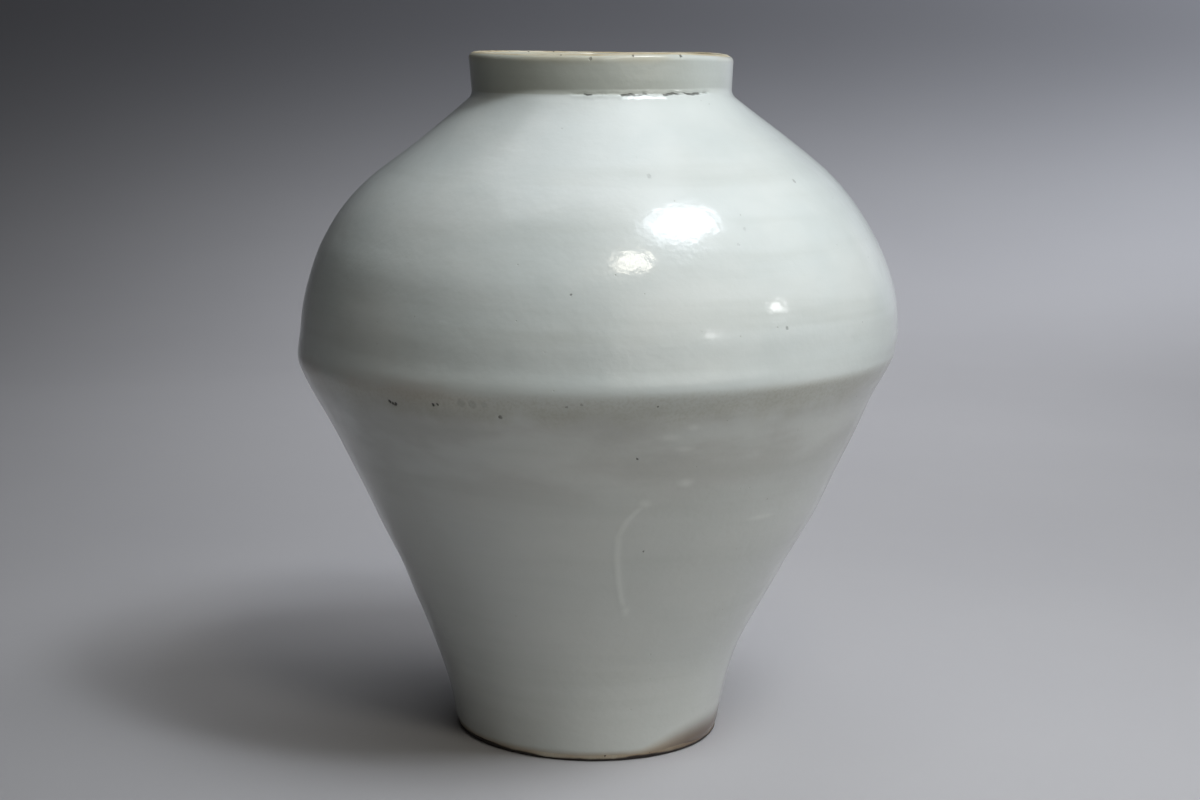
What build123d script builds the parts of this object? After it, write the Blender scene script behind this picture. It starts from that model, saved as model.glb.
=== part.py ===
from build123d import *
import os
from math import radians, sqrt, tan

# Storage jar of white porcelain, thrown as two bowls that are luted rim to rim at the belly.
# Millimetres and degrees. The origin is the middle of the foot on the floor, and +Z is up.
# Each profile is drawn in the XZ plane, radius along X, and turned about its own axis.

# Lower bowl: heights above the floor
foot_radius = 81.5
foot_bevel = 1.5
foot_ring_width = 12.0
recess_depth = 7.0
recess_draft = 3.0
base_thickness = 13.0
floor_round = 40.0
knee_height = 79.0
knee_radius = 104.6
lower_wall = 9.0

# Belly seam: the rim of the lower bowl rises towards +X
seam_height = 238.5
belly_radius = 182.2
seam_lean = 1.75

# Upper bowl and collar: heights along their own leaning axis, above the middle of the seam
upper_lean = 1.2
upper_wall = 9.0
belly_band = 7.7
shoulder_pitch = 38.1
neck_rise = 155.0
collar_base_radius = 77.8
collar_flare = 1.7
collar_height = 26.5
collar_wall = 8.0
lip_round = 3.5

# Luting slip in the two joints
luting_film = 1.2
luting_recess = 1.0
belly_bead_reach = 9.0
belly_bead_depth = 3.0
neck_fillet = 7.0

# Glaze, which stops above the bare foot and at the worn lip, and swells over the belly seam
glaze_thickness = 0.8
glaze_line = 4.0
ridge_reach = 5.0
ridge_swell = 0.5


def point(radius, height):
    return Vector(radius, 0, height)


def leaning_frame(lean, origin):
    """Plane whose +X side is raised by the lean."""
    return Plane(origin=origin, x_dir=(1, 0, 0), z_dir=(0, 0, 1)).rotated((0, -lean, 0))


def left_of(direction):
    """Unit vector to the left of a direction in the XZ plane: outwards, on a profile drawn downwards."""
    return Vector(-direction.Z, 0, direction.X).normalized()


def mitre(before, corner, after, outset):
    """Corner of a bent line, moved to the left by the outset."""
    first = left_of(corner - before)
    second = left_of(after - corner)
    return corner + (first + second) * (outset / (1 + first.dot(second)))


def wall_line(top, turn, end, outset):
    """Points of a wall: straight from top to turn, then an arc to end, all moved outwards by the outset."""
    out = left_of(turn - top)
    chord = end - turn
    reach = chord.dot(chord) / (2 * chord.dot(out))
    centre = turn + out * reach
    moved_end = centre + (end - centre) * ((reach - outset) / reach)
    return top + out * outset, turn + out * outset, moved_end


def wall_edges(top, turn, end):
    return [Line(top, turn), TangentArc(turn, end, tangent=turn - top)]


def rounded(outline, corner, radius):
    """Outline with the corner nearest to the given point rounded."""
    nearest = outline.vertices().sort_by_distance(corner)[0]
    return outline.fillet_2d(radius, [nearest])


def turned(edges):
    """Solid of revolution of the closed outline that the edges make."""
    return revolve(make_face(edges), Axis.Z)


# Values that follow from the driving dimensions
flank_slope = (belly_radius - knee_radius) / (seam_height - knee_height)
neck_slope = 1 / tan(radians(shoulder_pitch))
collar_lip_radius = collar_base_radius + collar_flare
bore_radius = collar_base_radius - collar_wall
seat_rise = neck_rise - luting_film
lip_rise = neck_rise + collar_height
floor_height = recess_depth + base_thickness

# A leaning cut through the cone of the flank is an oval, whose middle lies uphill of the foot's axis
seam_shift = belly_radius * flank_slope * tan(radians(seam_lean))
seam_middle = (seam_shift, 0, seam_height + seam_shift * tan(radians(seam_lean)))
seam_frame = leaning_frame(seam_lean, seam_middle)
upper_frame = leaning_frame(upper_lean, seam_middle)

# Spare clay that both bowls have past the seam before they are cut to it
spare = luting_film + belly_bead_reach + 2 * belly_radius * tan(radians(seam_lean))

# Outer line of the lower bowl, from above the seam down to the foot
flank_top = point(belly_radius + flank_slope * spare, seam_height + spare)
knee = point(knee_radius, knee_height)
foot_edge = point(foot_radius, foot_bevel)

# Wall of the lower bowl at the seam, measured level
level_wall = lower_wall * sqrt(1 + flank_slope**2)
inside_radius = belly_radius - level_wall
mid_wall_radius = belly_radius - level_wall / 2

# Outer line of the upper bowl, from the neck down to the upright band above the seam
neck = point(collar_base_radius, neck_rise)
belly = point(belly_radius, belly_band)

# The dome is tangent to shoulder and band, so both its ends lie equally far from the corner of the two
brow = point(belly_radius, neck_rise - (belly_radius - collar_base_radius) / neck_slope)
shoulder = brow + (neck - brow).normalized() * (brow.Z - belly_band)

# Inside of the upper bowl and collar
_, inner_shoulder, inner_belly = wall_line(neck, shoulder, belly, -upper_wall)
bore_foot = point(bore_radius, inner_shoulder.Z + (inner_shoulder.X - bore_radius) / neck_slope)
bore_neck = point(bore_radius, neck_rise)
inner_lip = point(collar_lip_radius - collar_wall, lip_rise)
outer_lip = point(collar_lip_radius, lip_rise)

# Fillet between the shoulder and the collar, from its lower to its upper end
down_shoulder = (shoulder - neck).normalized()
up_collar = (outer_lip - neck).normalized()
fillet_leg = neck_fillet * tan(radians((180 - down_shoulder.get_angle(up_collar)) / 2))
fillet_foot = neck + down_shoulder * fillet_leg
fillet_top = neck + up_collar * fillet_leg


def inner_flank(cover):
    """Top and bottom corner of the lower bowl's inside, under a coat of the given thickness."""
    top, turn, _ = wall_line(flank_top, knee, foot_edge, -lower_wall - cover)
    height = floor_height + cover
    return top, point(turn.X + flank_slope * (height - turn.Z), height)


def below_seam(body, gap):
    return split(body, bisect_by=seam_frame.offset(-gap), keep=Keep.BOTTOM)


def above_seam(body, gap):
    return split(body, bisect_by=seam_frame.offset(gap), keep=Keep.TOP)


def lower_bowl():
    """Conical bowl with a flared, recessed foot and a rounded floor inside."""
    inner_top, corner = inner_flank(0)
    foot_inner_radius = foot_radius - foot_ring_width
    under_side = Polyline(
        foot_edge,
        point(foot_radius - foot_bevel, 0),
        point(foot_inner_radius, 0),
        point(foot_inner_radius - recess_draft, recess_depth),
        point(0, recess_depth),
        point(0, floor_height),
        corner,
        inner_top,
        flank_top,
    )
    outline = make_face([*wall_edges(flank_top, knee, foot_edge), *under_side.edges()]).face()
    return below_seam(revolve(rounded(outline, corner, floor_round), Axis.Z), luting_film / 2)


def upper_bowl():
    """Domed shoulder whose mouth is cut flat as a seat for the collar."""
    seat_edge = point(collar_base_radius + neck_slope * luting_film, seat_rise)
    rim = Polyline(belly, point(belly.X, -spare), point(inner_belly.X, -spare), inner_belly)
    mouth = Polyline(inner_shoulder, bore_foot, point(bore_radius, seat_rise), seat_edge)
    inside = TangentArc(inner_shoulder, inner_belly, tangent=down_shoulder)
    body = turned([*wall_edges(seat_edge, shoulder, belly), *rim.edges(), inside, *mouth.edges()])
    return above_seam(upper_frame * body, luting_film / 2)


def neck_collar():
    """Short upright collar that flares a little towards its rounded lip."""
    outline = make_face(Polyline(bore_neck, neck, outer_lip, inner_lip, close=True).edges()).face()
    outline = rounded(outline, outer_lip, lip_round)
    outline = rounded(outline, inner_lip, lip_round)
    return upper_frame * revolve(outline, Axis.Z)


def seam_ring(lower_end, crown, upper_end):
    """Ring along the seam, from the middle of both walls to the arc through the three points."""
    back = Polyline(
        upper_end,
        point(belly_radius - upper_wall / 2, upper_end.Z),
        point(mid_wall_radius, 0),
        point(mid_wall_radius + flank_slope * lower_end.Z, lower_end.Z),
        lower_end,
    )
    return seam_frame * turned([ThreePointArc(lower_end, crown, upper_end), *back.edges()])


def belly_bead(cover):
    """Bead inside the seam, thickened by a coat. Its ends lie a third of the way into the walls."""
    lower_radius = inside_radius - flank_slope * belly_bead_reach
    lower_end = point(lower_radius + level_wall / 3, -belly_bead_reach)
    crown = point(inside_radius - belly_bead_depth, 0)
    upper_end = point(inner_belly.X + upper_wall / 3, belly_bead_reach)
    arc = ThreePointArc(lower_end, crown, upper_end)
    middle = arc.arc_center
    stretch = (arc.radius + cover) / arc.radius
    return seam_ring(*[middle + (end - middle) * stretch for end in (lower_end, crown, upper_end)])


def belly_luting(lower, upper):
    """Film of slip between the two rims, with the bead that was squeezed out inside."""
    outside_radius = belly_radius - luting_recess
    film = Cylinder(outside_radius, luting_film) - Cylinder(inside_radius, luting_film)
    return belly_bead(0) + seam_frame * film - lower - upper


def neck_luting():
    """Film of slip under the collar, drawn out into a fillet on the shoulder."""
    film = Polyline(
        fillet_top,
        neck,
        bore_neck,
        point(bore_radius, seat_rise),
        point(collar_base_radius + neck_slope * luting_film, seat_rise),
        fillet_foot,
    )
    fillet_arc = TangentArc(fillet_foot, fillet_top, tangent=-down_shoulder)
    return upper_frame * turned([*film.edges(), fillet_arc])


def outer_coat_line(outset):
    """Edges of the upper half's outside, from below the seam up to the lip, moved outwards."""
    foot, turn, end = wall_line(fillet_foot, shoulder, belly, outset)
    beside_collar = left_of(neck - outer_lip) * outset
    top = fillet_top + beside_collar
    lip = outer_lip - up_collar * lip_round + beside_collar
    skirt = point(end.X, -spare)
    edges = [
        Line(skirt, end),
        *wall_edges(foot, turn, end),
        TangentArc(foot, top, tangent=-down_shoulder),
        Line(top, lip),
    ]
    return edges, skirt, lip


def outer_glaze(lower, upper, luting):
    """Coat on the outside, from the glaze line above the foot to the lip, with a ridge over the seam."""
    clay = wall_line(flank_top, knee, foot_edge, 0)
    face = wall_line(flank_top, knee, foot_edge, glaze_thickness)
    ends = [Line(clay[0], face[0]), Line(clay[-1], face[-1])]
    lower_coat = turned([*wall_edges(*clay), *wall_edges(*face), *ends])
    lower_coat = split(lower_coat, bisect_by=Plane.XY.offset(glaze_line), keep=Keep.TOP)
    clay_edges, clay_skirt, clay_lip = outer_coat_line(0)
    face_edges, face_skirt, face_lip = outer_coat_line(glaze_thickness)
    ends = [Line(clay_skirt, face_skirt), Line(clay_lip, face_lip)]
    upper_coat = upper_frame * turned([*clay_edges, *face_edges, *ends])
    ridge = seam_ring(
        point(belly_radius - flank_slope * ridge_reach, -ridge_reach),
        point(belly_radius + glaze_thickness + ridge_swell, 0),
        point(belly_radius, ridge_reach),
    )
    ridge = ridge - lower - upper - luting
    return below_seam(lower_coat, ridge_reach / 2) + ridge + above_seam(upper_coat, ridge_reach / 2)


def inner_coat_line(outset):
    """Edges of the upper half's inside, from below the seam up to the lip, moved into the hollow."""
    _, turn, end = wall_line(neck, shoulder, belly, -upper_wall - outset)
    skirt = point(end.X, -spare)
    lip_end = inner_lip - (inner_lip - bore_neck).normalized() * lip_round
    bore_edge = mitre(bore_neck, bore_foot, inner_shoulder, -outset)
    neck_edge = mitre(lip_end, bore_neck, bore_foot, -outset)
    lip = lip_end - left_of(bore_neck - lip_end) * outset
    bore = Polyline(turn, bore_edge, neck_edge, lip)
    return [Line(skirt, end), TangentArc(turn, end, tangent=down_shoulder), *bore.edges()], skirt, lip


def inner_glaze(lower, upper, luting):
    """Coat on the inside, from the floor over the bead of the belly joint to the lip."""
    clay_top, clay_corner = inner_flank(0)
    face_top, face_corner = inner_flank(glaze_thickness)
    clay_middle = point(0, floor_height)
    face_middle = point(0, floor_height + glaze_thickness)
    strip = [clay_middle, clay_corner, clay_top, face_top, face_corner, face_middle]
    outline = make_face(Polyline(*strip, close=True).edges()).face()
    outline = rounded(outline, clay_corner, floor_round)
    outline = rounded(outline, face_corner, floor_round - glaze_thickness)
    clay_edges, clay_skirt, clay_lip = inner_coat_line(0)
    face_edges, face_skirt, face_lip = inner_coat_line(glaze_thickness)
    ends = [Line(clay_skirt, face_skirt), Line(clay_lip, face_lip)]
    lower_coat = below_seam(revolve(outline, Axis.Z), luting_film)
    upper_coat = above_seam(upper_frame * turned([*clay_edges, *face_edges, *ends]), luting_film)
    bead_coat = belly_bead(glaze_thickness) - lower - upper
    return lower_coat + bead_coat + upper_coat - luting


lower = lower_bowl()
upper = upper_bowl()
luting = belly_luting(lower, upper)
nodes = {
    "lower_bowl": lower,
    "upper_bowl": upper,
    "neck_collar": neck_collar(),
    "belly_luting": luting,
    "neck_luting": neck_luting(),
    "outer_glaze": outer_glaze(lower, upper, luting),
    "inner_glaze": inner_glaze(lower, upper, luting),
}

os.makedirs("parts", exist_ok=True)
for name, body in nodes.items():
    export_step(body, f"parts/{name}.step")
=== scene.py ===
from math import cos, radians, sin, sqrt, tan

import bpy
import numpy as np
from mathutils import Matrix, Vector, noise


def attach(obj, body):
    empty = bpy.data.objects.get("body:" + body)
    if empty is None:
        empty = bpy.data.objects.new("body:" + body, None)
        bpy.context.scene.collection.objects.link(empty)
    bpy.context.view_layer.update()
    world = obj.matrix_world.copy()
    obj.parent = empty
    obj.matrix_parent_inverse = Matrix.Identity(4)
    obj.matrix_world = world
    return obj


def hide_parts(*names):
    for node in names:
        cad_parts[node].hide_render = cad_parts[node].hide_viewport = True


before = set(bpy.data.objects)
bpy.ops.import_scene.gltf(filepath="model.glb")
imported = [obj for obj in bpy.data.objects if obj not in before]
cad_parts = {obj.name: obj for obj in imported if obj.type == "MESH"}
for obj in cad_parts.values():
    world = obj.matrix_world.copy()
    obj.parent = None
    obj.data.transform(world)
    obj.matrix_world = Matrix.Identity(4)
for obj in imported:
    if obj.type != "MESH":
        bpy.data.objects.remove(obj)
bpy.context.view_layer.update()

# White porcelain jar of two bowls luted at the belly. Metres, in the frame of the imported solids.
# Each piece is a turned wall whose lines repeat the solids' sizes, with the unevenness of a
# hand-thrown pot. Azimuths are in degrees from the front, which faces -Y, and grow towards +X.

# Lower bowl
FOOT_RADIUS = 0.0815
FOOT_BEVEL = 0.0015
FOOT_ROUND = 0.0012
FOOT_RING_WIDTH = 0.012
RECESS_DEPTH = 0.007
RECESS_DRAFT = 0.003
FLOOR_HEIGHT = 0.020
FLOOR_ROUND = 0.040
KNEE_HEIGHT = 0.079
KNEE_RADIUS = 0.1046
WALL = 0.009

# Belly seam and the leaning upper half
SEAM_HEIGHT = 0.2385
BELLY_RADIUS = 0.1822
SEAM_LEAN = radians(1.75)
UPPER_LEAN = radians(1.2)
BELLY_BAND = 0.0077
SHOULDER_PITCH = radians(38.1)
NECK_RISE = 0.155
NECK_FILLET = 0.007
COLLAR_RADIUS = 0.0778
COLLAR_FLARE = 0.0017
COLLAR_HEIGHT = 0.0265
COLLAR_WALL = 0.008
BORE_ROUND = 0.005
LIP_ROUND = 0.0035

# Slip and glaze
FILM = 0.0012
FILM_SETBACK = 0.001
BEAD_REACH = 0.007
BEAD_DEPTH = 0.003
GLAZE = 0.0008
GLAZE_LINE = 0.004
COAT_LAP = 0.0001

# Values that follow from them
FLANK_SLOPE = (BELLY_RADIUS - KNEE_RADIUS) / (SEAM_HEIGHT - KNEE_HEIGHT)
INSIDE_RADIUS = BELLY_RADIUS - WALL * sqrt(1 + FLANK_SLOPE**2)
SEAM_SHIFT = BELLY_RADIUS * FLANK_SLOPE * tan(SEAM_LEAN)
SEAM_MIDDLE = SEAM_HEIGHT + SEAM_SHIFT * tan(SEAM_LEAN)
SEAM_TILT = BELLY_RADIUS * tan(SEAM_LEAN - UPPER_LEAN)
BORE_RADIUS = COLLAR_RADIUS - COLLAR_WALL
LIP_RADIUS = COLLAR_RADIUS + COLLAR_FLARE
LIP_RISE = NECK_RISE + COLLAR_HEIGHT

# Radius of the small disc that closes a piece on its axis
AXIS_GAP = 0.002

# Columns of the grids round the jar, and how far the outer coat's are drawn to the front
COAT_COLUMNS = 380
CLAY_COLUMNS = 180
FRONT_DRAW = 0.4

# Rows of the grids up the walls, and the points of the lip's roundings that each coat covers
CLAY_ROWS = 60
HOLLOW_ROWS = 50
BEAD_ROWS = 6
INNER_ROWS = 90
OUTER_LIP_COVER = 7
INNER_LIP_COVER = 6

# Rows of the outer coat, closer together at the foot, the seam, the neck and the lip: how far each
# close stretch goes, and the steps in each stretch from the foot to the seam and on to the lip
FINE_FOOT = 0.02
FINE_BELOW_SEAM = 0.03
FINE_ABOVE_SEAM = 0.026
FINE_BELOW_NECK = 0.008
FINE_ABOVE_NECK = 0.010
FINE_LIP = 0.004
LOWER_STEPS = (12, 58, 22)
UPPER_STEPS = (20, 58, 28, 9, 6)

# The outer coat's hidden back keeps one row in this many
BACK_STRIDE = 6

# Unevenness of the wall to left and right: height, reach up and down, and how far it bulges to the right
SWAYS = (
    (0.055, 0.028, -0.0015),
    (0.150, 0.026, 0.0006),
    (0.222, 0.020, -0.0024),
    (0.285, 0.026, 0.0008),
    (0.366, 0.026, 0.0031),
    (0.412, 0.022, 0.0009),
)

# Local swells of the wall: azimuth, reach to each side in degrees, height, reach up and down, and
# how far out
SWELLS = (
    (90, 45, 0.246, 0.0085, -0.0017),
    (90, 55, 0.143, 0.022, 0.0016),
    (-90, 50, 0.109, 0.016, -0.0012),
    (-38, 42, 0.297, 0.011, 0.0008),
)

# Step through the noise from one seed to the next
SEED_STEP = (17.3, 5.7, 9.1)

# Slow waves that keep the wall from being quite round: depth, waves round a circle of radius 1, and how
# much each metre of height counts there; then where the axis and the foot hold the wall still
UNROUND = 0.0005
UNROUND_WAVES = (1.3, 1.3, 1.3)
UNROUND_CLIMB = (0, 0, 8)
HELD_RADIUS = 0.06
HELD_HEIGHT = 0.02

# Dips of the rim: azimuth, reach to each side in degrees, and depth
RIM_DIPS = (
    (-32, 30, 0.0009),
    (1, 9, 0.0006),
    (80, 32, 0.0022),
    (165, 50, 0.0014),
)

# Height above the collar's foot where the dips begin, and the grain of the worn lip
RIM_DIP_FROM = 0.002
LIP_GRAIN = 0.00012
LIP_GRAIN_WAVES = (220, 220, 220)

# At the front the shoulder climbs higher up the collar: how far, and how much of the wall is drawn along
NECK_LIFT = 0.0030
NECK_LIFT_REACH = 0.0085
NECK_LIFT_FROM = -25
NECK_LIFT_TO = 57
NECK_LIFT_FADE = 38

# Waves of the outer coat's thickness: waves per metre along X, Y and Z, and how much each adds
GLAZE_WAVES = (
    ((16, 16, 16), 0.00030),
    ((3, 3, 110), 0.00005),
    ((120, 120, 120), 0.00003),
)

# The same for the inner coat and its throwing rings, and the heights where the rings begin and end
INNER_WAVES = (16, 16, 16)
INNER_DEPTH = 0.0003
RING_WAVES = (2, 2, 75)
RING_DEPTH = 0.0005
RING_FROM = 0.03
RING_FULL = 0.06
RING_NECK_FADE = 0.01

# Roll of thick glaze above the seam and the dent over it: rise above the seam, reach and thickness
ROLL_RISE = 0.0045
ROLL_REACH = 0.0055
ROLL_SWELL = 0.0010
DENT_RISE = 0.018
DENT_REACH = 0.008
DENT_DEPTH = 0.0004

# The roll is fullest at the front: its reach to each side in degrees, and the share left behind
ROLL_FRONT = 48
ROLL_BEHIND = 0.2

# The seam's edge is drawn soft: reach up and down, how far each step goes, and how many there are
SOFT_REACH = 0.008
SOFT_SHARE = 0.5
SOFT_STEPS = 6

# Lower edge of the outer coat: waves per metre with how far each lifts it, and the height of the fade
FOOT_EDGE_WAVES = (
    (40, 0.0015),
    (150, 0.0006),
)
FOOT_EDGE_FADE = 0.014

# Both ends of the outer coat are rounded off: over what length, and the square of the share left there
COAT_TAPER = 0.003
COAT_LEAST = 0.02

# Pale glaze run down the front of the flank, from its end up: azimuth and height of the places it passes
RUN_PATH = (
    (10.5, 0.1028),
    (8.7, 0.1120),
    (7.6, 0.1230),
    (6.5, 0.1390),
    (6.4, 0.1530),
    (8.0, 0.1630),
    (11.5, 0.1738),
)
RUN_REACH = 0.8
RUN_FADE_LOW = 0.008
RUN_FADE_HIGH = 0.004

# Pale drops of thick glaze: azimuth, height, reach round in degrees, reach up, and strength from 0 to 1
DROPS = (
    (11.5, 0.1738, 1.3, 0.0024, 0.8),
    (10.5, 0.1028, 1.1, 0.0030, 0.8),
    (19.4, 0.1864, 1.6, 0.0024, 1.0),
    (42.3, 0.1587, 3.8, 0.0016, 0.8),
    (18.5, 0.2206, 1.2, 0.0020, 0.7),
    (14.5, 0.2147, 2.0, 0.0020, 0.7),
    (17.6, 0.2076, 1.8, 0.0016, 0.7),
)

# How far the run and the drops stand out
DROP_SWELL = 0.0003

# The broken line at the collar's foot: azimuths it runs between, and height above the neck
BREAK_FROM = -11
BREAK_TO = 52
BREAK_RISE = 0.0029

# Its groove, the raised lip under it, and the degrees over which both fade out at the ends
BREAK_DEPTH = 0.0007
BREAK_REACH = 0.0009
BREAK_LIP = 0.0005
BREAK_LIP_DROP = 0.0016
BREAK_LIP_REACH = 0.0012
BREAK_FADE = 4

# Its dark colour, painted shade along the groove: gaps from the line where it ends and is full, and
# degrees of its fade at the start
BREAK_LINE = (0.0007, 0.0002)
BREAK_SHADE_FADE = 6

# Its raggedness: waves round the jar, where each starts, and how far each moves the line up and down
BREAK_WAVES = (
    (23, 0.4, 0.0002),
    (57, 1.9, 0.0002),
    (131, 4.0, 0.0001),
)

# Dark marks in the glaze: azimuth, height, radius, and darkness from 0 to 1
PITS = (
    (-39.1, 0.2267, 0.0014, 1.0),
    (-38.5, 0.2258, 0.0013, 1.0),
    (-37.8, 0.2258, 0.0013, 1.0),
    (-38.2, 0.2250, 0.0008, 0.9),
    (-29.1, 0.2286, 0.0012, 1.0),
    (-28.2, 0.2292, 0.0010, 0.9),
    (-16.3, 0.2249, 0.0015, 0.55),
    (-16.5, 0.2249, 0.0008, 0.75),
    (-23.4, 0.2312, 0.0032, 0.18),
    (-21.2, 0.2314, 0.0032, 0.18),
    (-19.0, 0.2316, 0.0024, 0.14),
    (-4.4, 0.2330, 0.0011, 0.35),
    (-1.9, 0.2346, 0.0010, 0.3),
    (11.2, 0.2340, 0.0008, 0.7),
    (8.7, 0.2020, 0.0009, 0.8),
    (12.8, 0.1430, 0.0007, 0.6),
    (53.9, 0.3500, 0.0013, 0.35),
    (-4.2, 0.2930, 0.0007, 0.5),
    (35.5, 0.2740, 0.0012, 0.4),
    (12.4, 0.3540, 0.0016, 0.2),
    (31.0, 0.3270, 0.0012, 0.15),
    (28.4, 0.3190, 0.0012, 0.15),
    (-4.2, 0.4166, 0.0013, 0.5),
    (13.5, 0.4192, 0.0010, 0.7),
    (35.5, 0.4192, 0.0010, 0.8),
)

# How ragged the pits' edges are
PIT_RAGGED = 0.0016

# Bands of colour, as heights above the seam: where each edge begins and where it is full
STAIN_TOP = (0.004, -0.003)
STAIN_FOOT = (-0.022, -0.006)
STAIN_RAGGED = 0.024
WASH_TOP = (0.0, -0.010)
WASH_FOOT = (-0.085, -0.030)
RUST_BAND = (0.010, 0.001)

# Heights where the painted shade of the flank begins and is full, and half the width of the edge of the
# collar's painted shade
FLANK_SHADE_FROM = SEAM_HEIGHT + 0.004
FLANK_SHADE_FULL = SEAM_HEIGHT - 0.02
COLLAR_SHADE_EDGE = 0.0005

# Distances below the lip where the worn edge begins and is full
WEAR_FROM = 0.008
WEAR_FULL = 0.001

# Heights where the clay has the colour of the foot and of the lip
FOOT_CLAY = 0.03
LIP_CLAY = 0.2

# Painted contact shadow under the foot: how high it climbs, how much higher on the shaded left side, and
# its edge
CONTACT_SHADE_CLIMB = 0.004
CONTACT_SHADE_MORE = 0.0015
CONTACT_SHADE_EDGE = (0.0008, -0.0006)

# Sides of the jar that are coloured: azimuth of the middle, and degrees from it where the colour is full
# and where it ends. The shaded sides of the foot and of the collar take painted shade; burn and rust are
# the jar's own colour
BURN_SIDE = (72, 10, 52)
SHADED_FOOT_SIDE = (-75, 25, 60)
RUST_SIDE = (-75, 35, 63)
SHADED_COLLAR_SIDE = (-60, 75, 135)

# How high the brown burn climbs on the foot, all round and on its own side
BURN_EDGE = 0.008
BURN_HEIGHT = 0.015

# Faces that turn more than this are seen as an edge
EDGE_TURN = radians(60)


# Lines of the section: radius and height

def straight(start, end, count=2):
    return np.linspace(start, end, count)


def arc(start, heading, end, count):
    """Arc that leaves start along heading and arrives at end."""
    start, end = np.array(start), np.array(end)
    side = np.array([-heading[1], heading[0]]) / np.hypot(*heading)
    chord = end - start
    radius = chord @ chord / (2 * chord @ side)
    centre = start + side * radius
    first = np.arctan2(*(start - centre)[::-1])
    sweep = 2 * np.arcsin(np.linalg.norm(chord) / (2 * radius))
    angles = first + np.linspace(0, sweep, count)
    return centre + abs(radius) * np.stack([np.cos(angles), np.sin(angles)], axis=1)


def rounding(corner, before, after, radius, count):
    """Arc that rounds a corner between the way that leads to it and the way that leaves it."""
    leg = radius * tan(np.arccos(before @ after) / 2)
    return arc(corner - before * leg, before, corner + after * leg, count)


def joined(*lines):
    return np.concatenate([lines[0], *[line[1:] for line in lines[1:]]])


def rounded_line(corners, radius, count=6):
    """Line through the corners, each of them rounded."""
    corners = np.array(corners)
    ways = np.diff(corners, axis=0)
    ways /= np.linalg.norm(ways, axis=1, keepdims=True)
    turns = [rounding(c, a, b, radius, count) for c, a, b in zip(corners[1:-1], ways, ways[1:])]
    return np.concatenate([corners[:1], *turns, corners[-1:]])


def resampled(line, places):
    """Points of the line at the given distances along it."""
    passed = np.concatenate([[0], np.cumsum(np.linalg.norm(np.diff(line, axis=0), axis=1))])
    return np.stack([np.interp(places, passed, line[:, i]) for i in (0, 1)], axis=1)


def length(line):
    return np.linalg.norm(np.diff(line, axis=0), axis=1).sum()


def row_places(stops, counts):
    """Places of rows: each stretch between two stops has its own count of even steps."""
    parts = [np.linspace(a, b, n, endpoint=False) for a, b, n in zip(stops, stops[1:], counts)]
    return np.concatenate([*parts, [stops[-1]]])


def even(line, count):
    return resampled(line, np.linspace(0, length(line), count))


# Outside of the lower half, from the foot's edge up to the seam
foot_edge = np.array([FOOT_RADIUS, FOOT_BEVEL])
knee = np.array([KNEE_RADIUS, KNEE_HEIGHT])
flank_way = np.array([FLANK_SLOPE, 1]) / sqrt(1 + FLANK_SLOPE**2)
flank_line = joined(
    arc(knee, -flank_way, foot_edge, 60)[::-1],
    straight(knee, (BELLY_RADIUS, SEAM_HEIGHT), 90),
)

# Inside of the lower half, from the middle of the floor up to the seam
floor_corner = np.array([INSIDE_RADIUS - FLANK_SLOPE * (SEAM_HEIGHT - FLOOR_HEIGHT), FLOOR_HEIGHT])
floor_turn = rounding(floor_corner, np.array([1, 0]), flank_way, FLOOR_ROUND, 24)
bowl_line = joined(
    straight((AXIS_GAP, FLOOR_HEIGHT), floor_turn[0], 20),
    floor_turn,
    straight(floor_turn[-1], (INSIDE_RADIUS, SEAM_HEIGHT), 60),
)

# Outside of the upper half, from the seam up to the collar, heights above the middle of the seam
neck = np.array([COLLAR_RADIUS, NECK_RISE])
outer_lip = np.array([LIP_RADIUS, LIP_RISE])
band_top = np.array([BELLY_RADIUS, BELLY_BAND])
up_shoulder = np.array([-cos(SHOULDER_PITCH), sin(SHOULDER_PITCH)])
out_of_shoulder = np.array([sin(SHOULDER_PITCH), cos(SHOULDER_PITCH)])
up_collar = (outer_lip - neck) / np.linalg.norm(outer_lip - neck)
brow = np.array([BELLY_RADIUS, NECK_RISE - (BELLY_RADIUS - COLLAR_RADIUS) * tan(SHOULDER_PITCH)])
shoulder = brow + up_shoulder * (brow[1] - BELLY_BAND)
dome_line = joined(
    straight((BELLY_RADIUS, 0), band_top, 8),
    arc(band_top, (0, 1), shoulder, 110),
    straight(shoulder, neck, 60),
)

# Fillet at the collar's foot and roundings of the lip
inward = np.array([-1, 0])
neck_turn = rounding(neck, up_shoulder, up_collar, NECK_FILLET, 16)
inner_lip = np.array([LIP_RADIUS - COLLAR_WALL, LIP_RISE])
outer_lip_turn = rounding(outer_lip, up_collar, inward, LIP_ROUND, 12)
inner_lip_turn = rounding(inner_lip, inward, -up_collar, LIP_ROUND, 12)

# Inside of the upper half, from the seam up to the collar
inner_band_top = np.array([BELLY_RADIUS - WALL, BELLY_BAND])
inner_shoulder = shoulder - out_of_shoulder * WALL
bore_reach = (inner_shoulder[0] - BORE_RADIUS) / cos(SHOULDER_PITCH)
bore_foot = inner_shoulder + up_shoulder * bore_reach
bore_neck = np.array([BORE_RADIUS, NECK_RISE])
hollow_line = joined(
    straight((BELLY_RADIUS - WALL, 0), inner_band_top, 6),
    arc(inner_band_top, (0, 1), inner_shoulder, 60),
    straight(inner_shoulder, bore_foot, 20),
)


# Turning and unevenness

def field(points, waves, seed=0):
    """Smooth noise from -1 to 1 at each point; waves are per metre along X, Y and Z."""
    flat = points.reshape(-1, 3) * np.array(waves) + np.array(SEED_STEP) * (seed + 1)
    return np.array([noise.noise(p) for p in flat.tolist()]).reshape(points.shape[:-1])


def hump(distance):
    """Rounded bump: 1 at no distance and nothing at about 2."""
    return np.exp(-np.square(distance))


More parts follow.
